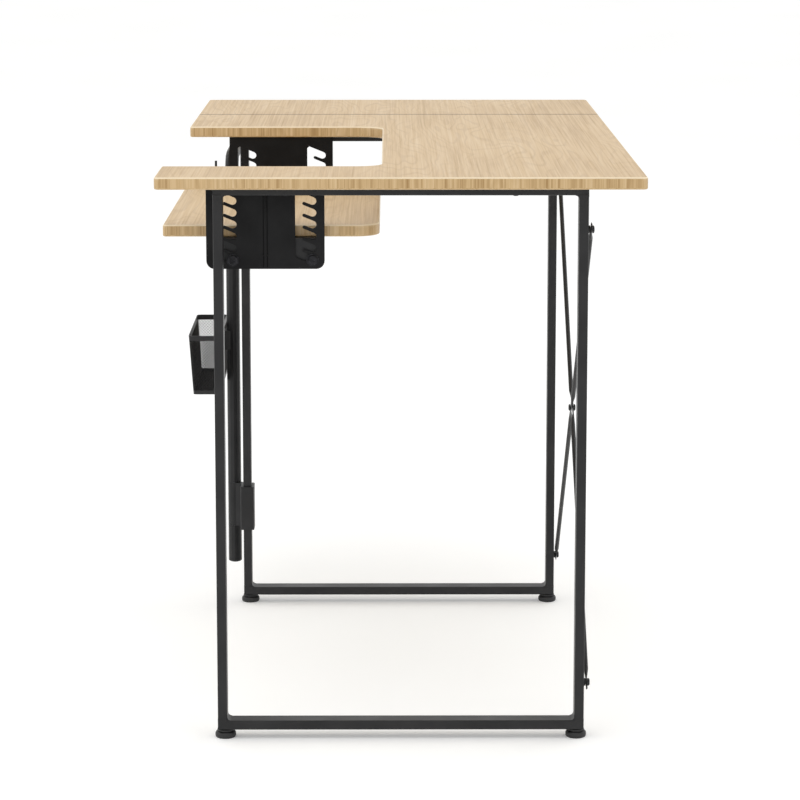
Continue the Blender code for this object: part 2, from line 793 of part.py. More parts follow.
def build_hinge(end, y):
    """A three-knuckle hinge: the top's wing has the outer knuckles, the leaf's the middle one."""
    third = HINGE_LENGTH / 3
    spans = {
        "top": ((-1.5 * third, -0.5 * third - GAP), (0.5 * third + GAP, 1.5 * third)),
        "leaf": ((-0.5 * third, 0.5 * third),),
    }
    wing_z = (UNDER_Z - GAP - HINGE_WING, UNDER_Z - GAP)
    axis = (SEAM_X, 0, HINGE_AXIS_Z)
    for owner, sign in (("top", 1), ("leaf", -1)):
        name = f"hinge_{end}_{owner}_wing"
        wing = make_object(
            name,
            box(
                sorted((SEAM_X + sign * 0.0042, SEAM_X + sign * HINGE_REACH)),
                (y - HINGE_LENGTH / 2, y + HINGE_LENGTH / 2),
                wing_z,
            ),
            "steel",
            origin=axis,
        )
        for number, (low, high) in enumerate(spans[owner], 1):
            tab = box(
                sorted((SEAM_X + sign * 0.0004, SEAM_X + sign * 0.0050)),
                (y + low, y + high),
                (wing_z[0], HINGE_AXIS_Z + 0.0028),
            )
            roll = cylinder((SEAM_X, y + low, HINGE_AXIS_Z), KNUCKLE_RADIUS, high - low, "Y", 16)
            combine(wing, make_object(f"{name}_roll_{number}", roll, "steel"), "UNION")
            combine(wing, make_object(f"{name}_tab_{number}", tab, "steel"), "UNION")
        start = (SEAM_X, y - HINGE_LENGTH / 2 - 0.002, HINGE_AXIS_Z)
        bore = cylinder(start, HINGE_PIN_RADIUS + 0.0002, HINGE_LENGTH + 0.004, "Y", 16)
        combine(wing, make_object(name + "_bore", bore, "steel"), "DIFFERENCE")
    start = (SEAM_X, y - HINGE_LENGTH / 2, HINGE_AXIS_Z)
    pin = cylinder(start, HINGE_PIN_RADIUS, HINGE_LENGTH, "Y", 16)
    make_object(f"hinge_{end}_pin", pin, "steel", origin=(SEAM_X, y, HINGE_AXIS_Z))


def main():
    clear_scene()
    build_boards()
    for side, x in FRAME_XS.items():
        build_frame(side, x)
    build_feet()
    build_combs()
    build_brace()
    build_arm()
    build_basket()
    for end, y in HINGE_YS.items():
        build_hinge(end, y)


main()
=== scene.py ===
"""Sewing table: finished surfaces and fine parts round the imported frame.

The boards, basket, feet, bolts and plate ribs are made here at full detail, and the steel
tubes, plates, rods and hinges of the frame get their finishes. Metres, +Z up.
Run it as a script, or read it as an add-on: each Operator makes one group of like pieces.
"""

import json
import math

import bmesh
import bpy
from bpy.props import FloatProperty, FloatVectorProperty, IntProperty, PointerProperty
from mathutils import Matrix, Vector

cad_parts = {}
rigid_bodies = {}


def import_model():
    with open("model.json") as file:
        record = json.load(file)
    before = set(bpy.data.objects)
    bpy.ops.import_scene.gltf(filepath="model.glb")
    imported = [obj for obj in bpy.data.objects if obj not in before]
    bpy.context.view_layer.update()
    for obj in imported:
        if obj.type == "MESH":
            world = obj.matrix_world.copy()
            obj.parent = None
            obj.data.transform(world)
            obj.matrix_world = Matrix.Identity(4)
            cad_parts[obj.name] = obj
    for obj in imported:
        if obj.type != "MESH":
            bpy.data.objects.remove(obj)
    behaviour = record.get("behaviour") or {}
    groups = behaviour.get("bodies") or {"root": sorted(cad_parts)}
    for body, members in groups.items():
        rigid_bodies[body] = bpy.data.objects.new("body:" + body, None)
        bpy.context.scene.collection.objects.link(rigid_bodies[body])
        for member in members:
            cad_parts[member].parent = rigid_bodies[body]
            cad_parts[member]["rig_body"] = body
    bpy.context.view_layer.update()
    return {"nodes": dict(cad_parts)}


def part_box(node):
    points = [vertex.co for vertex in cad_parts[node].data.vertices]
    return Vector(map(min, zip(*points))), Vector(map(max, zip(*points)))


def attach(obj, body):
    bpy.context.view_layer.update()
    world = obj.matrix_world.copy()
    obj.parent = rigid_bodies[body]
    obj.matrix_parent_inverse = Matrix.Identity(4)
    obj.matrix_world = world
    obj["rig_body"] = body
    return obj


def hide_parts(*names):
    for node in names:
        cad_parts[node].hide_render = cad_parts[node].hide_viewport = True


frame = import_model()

bl_info = {
    "name": "Sewing Table",
    "version": (1, 0, 0),
    "blender": (4, 5, 0),
    "location": "3D View > Sidebar > Sewing Table",
    "description": "Builds the looks of a sewing table round its packed frame",
    "category": "Object",
}

NODES = frame["nodes"]
SIDES = ("near", "far")
ENDS = ("front", "back")
SIGN = {"front": -1, "back": 1, "near": 1, "far": -1}
MM = 0.001
WASHER = 0.9 * MM  # thickness of the platform bolts' washers


def linear(hex_colour):
    """An sRGB hex colour as linear RGBA."""
    channels = [int(hex_colour[i : i + 2], 16) / 255 for i in (1, 3, 5)]
    return (*(c / 12.92 if c <= 0.04045 else ((c + 0.055) / 1.055) ** 2.4 for c in channels), 1.0)


# Settings


def length(name, description, default):
    return FloatProperty(name=name, description=description, default=default, unit="LENGTH", precision=5)


def colour(name, description, default):
    return FloatVectorProperty(
        name=name, description=description, default=linear(default), size=4, subtype="COLOR"
    )


class BoardSettings(bpy.types.PropertyGroup):
    edge_round: length("Edge round", "Radius of the foil-wrapped edges", 2.0 * MM)
    corner: length("Corner", "Radius of the boards' outer corners", 7 * MM)
    notch_corner: length("Notch corner", "Radius of the notch's inner corners", 33 * MM)
    platform_gap: length("Platform gap", "Gap round the platform in its notch", 3 * MM)
    grain_width: length("Grain width", "Width of one printed fibre streak", 2.2 * MM)
    ring_width: length("Ring width", "Distance between two growth rings", 24 * MM)
    face_contrast: FloatProperty(
        name="Face contrast",
        description="Contrast of the print on the flat faces, as a share of that on the edges",
        default=0.5,
    )
    light: colour("Light wood", "Palest streaks of the printed grain", "#D3B991")
    middle: colour("Middle wood", "Ground colour of the printed grain", "#C2A476")
    dark: colour("Dark wood", "Darkest streaks of the printed grain", "#997745")
    backing: colour("Backing", "Plain paper on the undersides", "#CFC3AE")
    # Painted shade: the seam band and seam colour below paint a dark brown band on the boards each side
    # of the leaf's seam, standing in for the shade in the narrow gap between leaf and top.
    seam_shade_band: length("Seam band", "Width of the brown edge each side of the leaf's seam", 5.0 * MM)
    seam: colour("Seam", "Brown of the edges that meet at the leaf's seam", "#463220")


class SteelSettings(bpy.types.PropertyGroup):
    weld_fillet: length("Weld fillet", "Radius of the welds in the frames' corners", 5 * MM)
    weld_proud: length("Weld proud", "How far a dressed weld stands over the tube", 0.2 * MM)
    rib_width: length("Rib width", "Width of the rib pressed in each comb plate", 4.0 * MM)
    rib_height: length("Rib height", "Height of that rib", 1.1 * MM)
    # The crease strips are painted shade: near-black strips beside each rib stand in for the shade at
    # its flanks.
    crease: length("Crease", "Width of the dark crease on each side of the rib", 1.3 * MM)
    coat: colour("Powder coat", "Satin black of the steel", "#1C1C1D")
    coat_worn: colour("Powder coat, thin", "Greyer black where the coat is thin", "#262627")
    plate_coat: colour("Plate coat", "Deeper black of the comb plates and brackets", "#0E0E0F")
    plastic: colour("Plastic", "Black of the moulded parts", "#1A1A1B")
    zinc: colour("Zinc", "Bright zinc plate", "#B4B8BB")


class BasketSettings(bpy.types.PropertyGroup):
    mesh_pitch: length("Mesh pitch", "Width of one diamond of the expanded mesh", 4.9 * MM)
    strand: length("Strand", "Thickness of the mesh's strands", 1.35 * MM)
    rim: length("Rim", "Height of the solid band at the top", 8 * MM)
    base_band: length("Base band", "Height of the solid band at the bottom", 6 * MM)
    taper: length("Taper", "How much narrower the basket is at the bottom", 6 * MM)
    front_corner: length("Front corner", "Radius of the basket's front corners", 6 * MM)


class FastenerSettings(bpy.types.PropertyGroup):
    segments: IntProperty(name="Segments", description="Steps round each head", default=24, min=12)
    platform_socket: length("Platform socket", "Key size of the platform's bolts", 4.0 * MM)
    screw_radius: length("Screw radius", "Radius of the wood screws' heads", 4.0 * MM)
    screw_height: length("Screw height", "Height of the wood screws' heads", 2.0 * MM)


class StageSettings(bpy.types.PropertyGroup):
    distance: length("Distance", "From the table's middle to the camera, along X", 4.190)
    height: length("Height", "Height of the camera", 1.174)
    offset: length("Offset", "How far the camera stands to the left", -0.0156)
    aim_height: length("Aim height", "Height of the point it looks at", 0.5056)
    lens: FloatProperty(name="Lens", description="Focal length", default=127.5, unit="CAMERA")
    rise: FloatProperty(name="Rise", description="Vertical shift of the lens", default=-0.12)
    floor: colour("Floor", "Pale floor", "#F6F6F5")
    floor_glow: FloatProperty(name="Floor glow", description="Light from below the floor", default=0.14)
    sky: FloatProperty(name="Sky", description="Strength of the even light from all round", default=0.95)
    backdrop: FloatProperty(name="Backdrop", description="Brightness behind the table", default=1.05)


class TableSettings(bpy.types.PropertyGroup):
    boards: PointerProperty(type=BoardSettings)
    steel: PointerProperty(type=SteelSettings)
    basket: PointerProperty(type=BasketSettings)
    fasteners: PointerProperty(type=FastenerSettings)
    stage: PointerProperty(type=StageSettings)


# Materials


def add(tree, kind, inputs=None, stops=None, **settings):
    """Adds a node. Inputs are sockets to link or values to set, and stops fill a colour ramp."""
    node = tree.nodes.new(kind)
    for key, value in settings.items():
        setattr(node, key, value)
    for key, value in (inputs or {}).items():
        if isinstance(value, bpy.types.NodeSocket):
            tree.links.new(value, node.inputs[key])
        else:
            node.inputs[key].default_value = value
    if stops:
        ramp = node.color_ramp.elements
        while len(ramp) < len(stops):
            ramp.new(0.5)
        for element, (position, shade) in zip(ramp, stops):
            element.position = position
            element.color = shade if len(shade) == 4 else (*shade, 1.0)
    return node


def material(name, build):
    """The material of that name, made by build(tree, shader) the first time it is asked for."""
    made = bpy.data.materials.get(name)
    if made:
        return made
    made = bpy.data.materials.new(name)
    made.use_nodes = True
    tree = made.node_tree
    build(tree, tree.nodes["Principled BSDF"])
    return made


def grey(value):
    return (value, value, value)


def wood_foil():
    """PVC foil printed with pale oak and drawn over MDF under vacuum.

    The print is wrapped round the edges, so its streaks run on down the ends of the boards.
    Each top arris carries a painted highlight: its colour is mixed towards a pale cream. A
    dark brown band each side of the leaf's seam is painted shade of the gap there. The foil's
    faint emboss and satin film give a soft sheen at a low angle. The undersides are mottled
    balance paper.
    """

    def build(tree, shader):
        s = bpy.context.scene.sewing_table.boards

        # The print's own plane: along the grain, and across it over the top and down the edges
        place = add(tree, "ShaderNodeTexCoord")
        at = add(tree, "ShaderNodeSeparateXYZ", {0: place.outputs["Object"]})
        facing = add(tree, "ShaderNodeSeparateXYZ", {0: place.outputs["Normal"]})
        end_face = add(tree, "ShaderNodeMath", {0: facing.outputs["X"]}, operation="ABSOLUTE")
        side_face = add(
            tree, "ShaderNodeMath", {0: 1.0, 1: end_face.outputs[0]}, operation="SUBTRACT"
        )
        across = add(
            tree,
            "ShaderNodeMath",
            {0: at.outputs["Z"], 1: side_face.outputs[0], 2: at.outputs["Y"]},
            operation="MULTIPLY_ADD",
        )
        along = add(
            tree,
            "ShaderNodeMath",
            {0: at.outputs["Z"], 1: end_face.outputs[0], 2: at.outputs["X"]},
            operation="MULTIPLY_ADD",
        )
        flat = add(
            tree, "ShaderNodeCombineXYZ", {"X": along.outputs[0], "Y": across.outputs[0], "Z": 0.37}
        )

        def streaks(width, run, detail, rough=0.5, warp=0.0):
            """Noise whose spots are width across the grain and run along it."""
            stretch = add(
                tree,
                "ShaderNodeMapping",
                {"Vector": flat.outputs[0], "Scale": (1 / run, 1 / width, 1.0)},
            )
            return add(
                tree,
                "ShaderNodeTexNoise",
                {
                    "Vector": stretch.outputs[0],
                    "Scale": 1.0,
                    "Detail": detail,
                    "Roughness": rough,
                    "Distortion": warp,
                },
            ).outputs["Fac"]

        # Tone: fine fibres, wider veins and broad clouds
        fibre = streaks(s.grain_width, 0.24, 3, 0.6)
        vein = streaks(s.grain_width * 3, 0.34, 3, 0.5, 0.6)
        cloud = streaks(0.070, 0.35, 2)
        shares = ((fibre, 0.54), (vein, 0.34), (cloud, 0.42))
        tone = 0.0
        for part, share in shares:
            tone = add(
                tree, "ShaderNodeMath", {0: part, 1: share, 2: tone}, operation="MULTIPLY_ADD"
            ).outputs[0]
        mean_tone = sum(share for _, share in shares) / 2

        # Growth rings: parallel lines that sway into long arches
        sway = streaks(0.085, 0.42, 2, 0.45, 0.3)
        bent = add(
            tree,
            "ShaderNodeMath",
            {0: sway, 1: s.ring_width * 16, 2: across.outputs[0]},
            operation="MULTIPLY_ADD",
        )
        phase = add(
            tree,
            "ShaderNodeMath",
            {0: bent.outputs[0], 1: math.tau / s.ring_width},
            operation="MULTIPLY",
        )
        rings = add(tree, "ShaderNodeMath", {0: phase.outputs[0]}, operation="SINE")

        # Colour: the print is evener on the flat faces than on the edges
        level = add(tree, "ShaderNodeMath", {0: facing.outputs["Z"]}, operation="ABSOLUTE")
        strength = add(
            tree,
            "ShaderNodeMath",
            {0: level.outputs[0], 1: s.face_contrast - 1.0, 2: 1.0},
            operation="MULTIPLY_ADD",
        )
        centred = add(tree, "ShaderNodeMath", {0: tone, 1: mean_tone}, operation="SUBTRACT")
        ground = 0.58
        evened = add(
            tree,
            "ShaderNodeMath",
            {0: centred.outputs[0], 1: strength.outputs[0], 2: ground},
            operation="MULTIPLY_ADD",
        )
        print_colour = add(
            tree,
            "ShaderNodeValToRGB",
            {"Fac": evened.outputs[0]},
            stops=[(0.41, s.dark[:]), (ground, s.middle[:]), (0.74, s.light[:])],
        )

        late_wood = add(
            tree,
            "ShaderNodeMapRange",
            {"Value": rings.outputs[0], 1: 0.40, 2: 1.0, 3: 0.0, 4: 0.30},
        )
        patch = add(
            tree, "ShaderNodeMapRange", {"Value": cloud, 1: 0.40, 2: 0.60, 3: 0.25, 4: 1.0}
        )
        drawn = add(
            tree,
            "ShaderNodeMath",
            {0: late_wood.outputs[0], 1: patch.outputs[0]},
            operation="MULTIPLY",
        )
        ringed = add(
            tree,
            "ShaderNodeMix",
            {"Factor": drawn.outputs[0], 6: print_colour.outputs["Color"], 7: s.dark[:]},
            data_type="RGBA",
        )

        # Painted highlight on the top arrises, paper below, and painted shade at the seam: a dark brown
        # band each side of it
        painted_arris_highlight = add(
            tree,
            "ShaderNodeValToRGB",
            {"Fac": facing.outputs["Z"]},
            stops=[(0.05, grey(0.0)), (0.35, grey(0.75)), (0.90, grey(0.75)), (0.99, grey(0.0))],
        )
        with_painted_highlight = add(
            tree,
            "ShaderNodeMix",
            {"Factor": painted_arris_highlight.outputs["Color"], 6: ringed.outputs[2], 7: linear("#F3E6CB")},
            data_type="RGBA",
        )
        below = add(
            tree,
            "ShaderNodeMapRange",
            {"Value": facing.outputs["Z"], 1: -0.80, 2: -0.95, 3: 0.0, 4: 1.0},
        )
        paper = add(
            tree,
            "ShaderNodeValToRGB",
            {"Fac": streaks(9 * MM, 9 * MM, 5, 0.7)},
            stops=[(0.36, linear("#BDB09A")), (0.50, s.backing[:]), (0.66, linear("#D8CEBB"))],
        )
        whole = add(
            tree,
            "ShaderNodeMix",
            {"Factor": below.outputs[0], 6: with_painted_highlight.outputs[2], 7: paper.outputs["Color"]},
            data_type="RGBA",
        )
        # Painted shade: near the seam between leaf and top the colour is mixed towards dark brown, for
        # the shade in the narrow gap there
        from_seam = add(
            tree,
            "ShaderNodeMath",
            {0: at.outputs["X"], 1: (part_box("drop_leaf")[1].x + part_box("main_top")[0].x) / 2},
            operation="SUBTRACT",
        )
        nearness = add(tree, "ShaderNodeMath", {0: from_seam.outputs[0]}, operation="ABSOLUTE")
        band = add(
            tree,
            "ShaderNodeMapRange",
            {"Value": nearness.outputs[0], 1: s.seam_shade_band * 0.6, 2: s.seam_shade_band, 3: 0.85, 4: 0.0},
        )
        seam_shaded = add(
            tree,
            "ShaderNodeMix",
            {"Factor": band.outputs[0], 6: whole.outputs[2], 7: s.seam[:]},
            data_type="RGBA",
        )
        tree.links.new(seam_shaded.outputs[2], shader.inputs["Base Color"])

        # Gloss and emboss follow the print
        sheen = add(tree, "ShaderNodeMapRange", {"Value": fibre, 1: 0.3, 2: 0.7, 3: 0.46, 4: 0.36})
        tree.links.new(sheen.outputs[0], shader.inputs["Roughness"])
        emboss = add(
            tree,
            "ShaderNodeBump",
            {"Height": tone, "Strength": 0.25, "Distance": 0.15 * MM},
        )
        tree.links.new(emboss.outputs[0], shader.inputs["Normal"])

    return material("printed_oak_foil_on_mdf", build)


def coat_like(tree, shader, base, thin, grit, roughness):
    """A painted or moulded black: a mottled colour, a varying gloss and a fine even grit."""
    place = add(tree, "ShaderNodeTexCoord").outputs["Object"]
    mottle = add(
        tree, "ShaderNodeTexNoise", {"Vector": place, "Scale": 1 / 0.045, "Detail": 3}
    )
    shade = add(
        tree,
        "ShaderNodeValToRGB",
        {"Fac": mottle.outputs["Fac"]},
        stops=[(0.35, base), (0.70, thin)],
    )
    tree.links.new(shade.outputs["Color"], shader.inputs["Base Color"])
    gloss = add(
        tree,
        "ShaderNodeMapRange",
        {"Value": mottle.outputs["Fac"], 1: 0.3, 2: 0.7, 3: roughness - 0.05, 4: roughness + 0.05},
    )
    tree.links.new(gloss.outputs[0], shader.inputs["Roughness"])
    grain = add(tree, "ShaderNodeTexNoise", {"Vector": place, "Scale": 1 / grit, "Detail": 2})
    bump = add(
        tree,
        "ShaderNodeBump",
        {"Height": grain.outputs["Fac"], "Strength": 0.22, "Distance": 0.12 * MM},
    )
    tree.links.new(bump.outputs[0], shader.inputs["Normal"])


def powder_coat():
    """Polyester powder baked on steel: satin black with an even orange peel.

    The real grit is about 0.3 mm and wouldn't show, so it is drawn 1.2 mm wide.
    """

    def build(tree, shader):
        s = bpy.context.scene.sewing_table.steel
        coat_like(tree, shader, s.coat[:], s.coat_worn[:], 1.2 * MM, 0.40)
        shader.inputs["Specular IOR Level"].default_value = 0.30

    return material("powder_coated_steel", build)


def matt_coat():
    """The same powder with more matting agent, as on the pressed plates: a deeper, duller black."""

    def build(tree, shader):
        s = bpy.context.scene.sewing_table.steel
        coat_like(tree, shader, s.plate_coat[:], s.coat[:], 1.2 * MM, 0.48)
        shader.inputs["Specular IOR Level"].default_value = 0.16

    return material("matt_powder_coated_plate", build)


def painted_crease_shade():
    """Near-black strips beside a pressed rib, where almost no light returns: painted shade of the
    creases at the rib's flanks.
    """

    def build(tree, shader):
        coat_like(tree, shader, linear("#040404"), linear("#0A0A0A"), 1.2 * MM, 0.7)
        shader.inputs["Specular IOR Level"].default_value = 0.05

    return material("painted_crease_shade_black", build)


def moulded_plastic():
    """Injection-moulded ABS with a spark-eroded texture: a dull black with a broad sheen."""

    def build(tree, shader):
        s = bpy.context.scene.sewing_table.steel
        coat_like(tree, shader, s.plastic[:], s.coat[:], 0.9 * MM, 0.52)
        shader.inputs["IOR"].default_value = 1.54
        shader.inputs["Specular IOR Level"].default_value = 0.45

    return material("moulded_black_abs", build)


def black_oxide():
    """Hot-blacked cap screws: a dark metal that still shows a narrow highlight."""

    def build(tree, shader):
        place = add(tree, "ShaderNodeTexCoord").outputs["Object"]
        stain = add(tree, "ShaderNodeTexNoise", {"Vector": place, "Scale": 1 / 0.004, "Detail": 3})
        shade = add(
            tree,
            "ShaderNodeValToRGB",
            {"Fac": stain.outputs["Fac"]},
            stops=[(0.35, linear("#1F1F21")), (0.68, linear("#343437"))],
        )
        tree.links.new(shade.outputs["Color"], shader.inputs["Base Color"])
        gloss = add(
            tree,
            "ShaderNodeMapRange",
            {"Value": stain.outputs["Fac"], 1: 0.3, 2: 0.7, 3: 0.34, 4: 0.46},
        )
        tree.links.new(gloss.outputs[0], shader.inputs["Roughness"])
        shader.inputs["Metallic"].default_value = 0.85

    return material("black_oxide_steel", build)


def zinc_plate():
    """Bright zinc plated on pressed steel: a cool grey metal, faintly blotched and drawn."""

    def build(tree, shader):
        s = bpy.context.scene.sewing_table.steel
        place = add(tree, "ShaderNodeTexCoord").outputs["Object"]
        blotch = add(tree, "ShaderNodeTexNoise", {"Vector": place, "Scale": 1 / 0.006, "Detail": 4})
        shade = add(
            tree,
            "ShaderNodeValToRGB",
            {"Fac": blotch.outputs["Fac"]},
            stops=[(0.35, linear("#9FA39F")), (0.55, s.zinc[:]), (0.75, linear("#C3C6CC"))],
        )
        tree.links.new(shade.outputs["Color"], shader.inputs["Base Color"])
        drawn = add(tree, "ShaderNodeMapping", {"Vector": place, "Scale": (1600.0, 90.0, 1600.0)})
        lines = add(tree, "ShaderNodeTexNoise", {"Vector": drawn.outputs[0], "Scale": 1.0})
        gloss = add(
            tree,
            "ShaderNodeMapRange",
            {"Value": lines.outputs["Fac"], 1: 0.3, 2: 0.7, 3: 0.24, 4: 0.40},
        )
        tree.links.new(gloss.outputs[0], shader.inputs["Roughness"])
        shader.inputs["Metallic"].default_value = 1.0

    return material("zinc_plated_steel", build)


FINISHES = {
    "wood_foil": wood_foil,
    "black_steel": powder_coat,
    "black_plastic": moulded_plastic,
    "zinc_steel": zinc_plate,
}


# Shapes


def body_of(node):
    return NODES[node]["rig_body"]


def middle_of(node):
    low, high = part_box(node)
    return (low + high) / 2


def joined(parts):
    """One bmesh that holds every part as a separate shell. The parts are used up."""
    whole = bmesh.new()
    for part in parts:
        mesh = bpy.data.meshes.new("part")
        part.to_mesh(mesh)
        part.free()
        whole.from_mesh(mesh)
        bpy.data.meshes.remove(mesh)
    return whole


def piece(name, bm, finish, body, stands_for=(), sharp=35, flat_area=math.inf):
    """Makes bm an object of the model that rides on the body and stands for the nodes.

    Faces larger than flat_area are plane, and are shaded flat.
    """
    mesh = bpy.data.meshes.new(name)
    bm.to_mesh(mesh)
    bm.free()
    if not mesh.polygons:
        raise RuntimeError(f"{name} has no faces")
    mesh.shade_smooth()
    mesh.set_sharp_from_angle(angle=math.radians(sharp))
    for polygon in mesh.polygons:
        polygon.use_smooth = polygon.area < flat_area
    mesh.materials.append(finish)
    made = bpy.data.objects.new(name, mesh)
    bpy.context.scene.collection.objects.link(made)
    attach(made, body)
    if stands_for:
        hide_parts(*stands_for)
    return made


def arc(centre, radius, start, end, steps):
    """Points on an arc in a plane, angles in degrees."""
    points = []
    for i in range(steps + 1):
        a = math.radians(start + (end - start) * i / steps)
        points.append((centre[0] + radius * math.cos(a), centre[1] + radius * math.sin(a)))
    return points


def rounded(corners, steps=12):
    """Outline through the corners (u, v, radius), each one rounded by a tangent arc."""
    outline = []
    for i, (u, v, radius) in enumerate(corners):
        here = Vector((u, v))
        before = (Vector(corners[i - 1][:2]) - here).normalized()
        after = (Vector(corners[(i + 1) % len(corners)][:2]) - here).normalized()
        half = before.angle(after) / 2
        centre = here + (before + after).normalized() * radius / math.sin(half)
        start = (here + before * radius / math.tan(half) - centre).normalized()
        end = (here + after * radius / math.tan(half) - centre).normalized()
        outline += [tuple(centre + start.slerp(end, k / steps) * radius) for k in range(steps + 1)]
    return outline


def extruded(bm, outline, low, high, axis="Z"):
    """Adds a closed solid to bm: the outline drawn across the axis and extruded along it."""
    place = {
        "X": lambda u, v: (low, u, v),
        "Y": lambda u, v: (u, low, v),
        "Z": lambda u, v: (u, v, low),
    }[axis]
    face = bm.faces.new([bm.verts.new(place(u, v)) for u, v in outline])
    result = bmesh.ops.extrude_face_region(bm, geom=[face])
    moved = [v for v in result["geom"] if isinstance(v, bmesh.types.BMVert)]
    step = Vector((axis == "X", axis == "Y", axis == "Z")) * (high - low)
    bmesh.ops.translate(bm, vec=step, verts=moved)
    made = list({f for v in moved for f in v.link_faces} | {face})
    bmesh.ops.recalc_face_normals(bm, faces=made)
    return made


def soften(bm, edges, radius, segments):
    bmesh.ops.bevel(
        bm,
        geom=list(edges),
        offset=radius,
        offset_type="OFFSET",
        affect="EDGES",
        segments=segments,
        profile=0.5,
        material=-1,
        clamp_overlap=True,
    )


def spun(profile, steps):
    """A shape turned round Z from a profile of (radius, height)."""
    bm = bmesh.new()
    verts = [bm.verts.new((r, 0, h)) for r, h in profile]
    edges = [bm.edges.new(pair) for pair in zip(verts, verts[1:])]
    bmesh.ops.spin(
        bm,
        geom=verts + edges,
        cent=(0, 0, 0),
        axis=(0, 0, 1),
        angle=math.tau,
        steps=steps,
        use_merge=True,
    )
    bmesh.ops.remove_doubles(bm, verts=bm.verts, dist=1e-6)
    bmesh.ops.recalc_face_normals(bm, faces=bm.faces)
    return bm


def standing(bm, point, direction):
    """Stands a shape made round +Z on a point, facing the direction."""
    turn = Vector((0, 0, 1)).rotation_difference(Vector(direction)).to_matrix().to_4x4()
    bmesh.ops.transform(bm, matrix=Matrix.Translation(point) @ turn, verts=bm.verts)
    return bm


def is_level(edge):
    return abs(edge.verts[0].co.z - edge.verts[1].co.z) < 1e-6


def socket_head(point, direction, radius, height, across, washer=0.0):
    """A domed head with a hexagon socket, on a washer of that radius if there is one.

    The dome rises from a low shoulder to a flat lip round the socket.
    """
    steps = bpy.context.scene.sewing_table.fasteners.segments
    lip = max(across * 0.72, radius * 0.42)
    shoulder = height * 0.28
    dome = [(radius * 0.96, 0.0), (radius, height * 0.10), (radius, shoulder)]
    for out, up in arc((0, 0), 1.0, 18, 90, 4):
        dome.append((lip + (radius - lip) * out, shoulder + (height - shoulder) * up))
    bm = spun(dome, steps)
    rim = [e for e in bm.edges if e.is_boundary and abs(e.verts[0].co.z - height) < 1e-6]
    bmesh.ops.create_circle(
        bm,
        segments=6,
        radius=across / math.sqrt(3),
        matrix=Matrix.Translation((0, 0, height - 0.05 * MM)),
    )
    hexagon = [e for e in bm.edges if e.is_wire]
    bmesh.ops.subdivide_edges(bm, edges=hexagon, cuts=steps // 6 - 1)
    mouth = [e for e in bm.edges if e.is_wire]
    bmesh.ops.bridge_loops(bm, edges=rim + mouth)
    walls = bmesh.ops.extrude_edge_only(bm, edges=mouth)["geom"]
    floor = [g for g in walls if isinstance(g, bmesh.types.BMVert)]
    bmesh.ops.translate(bm, vec=(0, 0, -height * 0.55), verts=floor)
    bmesh.ops.holes_fill(bm, edges=bm.edges)
    bmesh.ops.recalc_face_normals(bm, faces=bm.faces)
    if washer:
        bmesh.ops.translate(bm, vec=(0, 0, WASHER), verts=bm.verts)
        chamfer = WASHER * 0.3
        edge = [(0, 0), (washer, 0), (washer, WASHER - chamfer), (washer - chamfer, WASHER), (0, WASHER)]
        bm = joined([bm, spun(edge, steps)])
    return standing(bm, point, direction)


# Operators


class OBJECT_OT_table_frame_finish(bpy.types.Operator):
    """Give every solid of the frame the finish of its material slot"""

    bl_idname = "sewing_table.frame_finish"
    bl_label = "Frame Finishes"

    def execute(self, context):
        for node in NODES.values():
            slots = node.data.materials
            slot = slots[0].name if slots else "none"
            if slot not in FINISHES:
                raise RuntimeError(f"{node.name} has no finish for the slot {slot}")
            slots[0] = matt_coat() if "plate" in node.name else FINISHES[slot]()
        return {"FINISHED"}


class OBJECT_OT_table_boards(bpy.types.Operator):
    """Make the top, the drop leaf and the machine platform with rounded, wrapped edges"""

    bl_idname = "sewing_table.boards"
    bl_label = "Boards"

    def board(self, node, corners):
        s = bpy.context.scene.sewing_table.boards
        low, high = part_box(node)
        bm = bmesh.new()
        extruded(bm, rounded(corners), low.z, high.z)
        soften(bm, [e for e in bm.edges if is_level(e)], s.edge_round, 4)
        plane = (high.z - low.z) * s.corner
        name = node + "_board"
        piece(name, bm, wood_foil(), body_of(node), (node,), flat_area=plane)

    def execute(self, context):
        s = context.scene.sewing_table.boards
        square = s.edge_round * 1.2
        low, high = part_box("main_top")
        inner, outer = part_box("machine_platform")
        notch = (inner.x - s.platform_gap, outer.x + s.platform_gap, outer.y + s.platform_gap)
        self.board(
            "main_top",
            [
                (low.x, low.y, square),
                (notch[0], low.y, square * 2),
                (notch[0], notch[2], s.notch_corner),
                (notch[1], notch[2], s.notch_corner),
                (notch[1], low.y, square * 2),
                (high.x, low.y, s.corner),
                (high.x, high.y, s.corner),
                (low.x, high.y, square),
            ],
        )
        low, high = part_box("drop_leaf")
        self.board(
            "drop_leaf",
            [
                (low.x, low.y, s.corner),
                (high.x, low.y, square),
                (high.x, high.y, square),
                (low.x, high.y, s.corner),
            ],
        )
        self.board(
            "machine_platform",
            [
                (inner.x, inner.y, square * 2),
                (outer.x, inner.y, square * 2),
                (outer.x, outer.y, s.notch_corner),
                (inner.x, outer.y, s.notch_corner),
            ],
        )
        return {"FINISHED"}


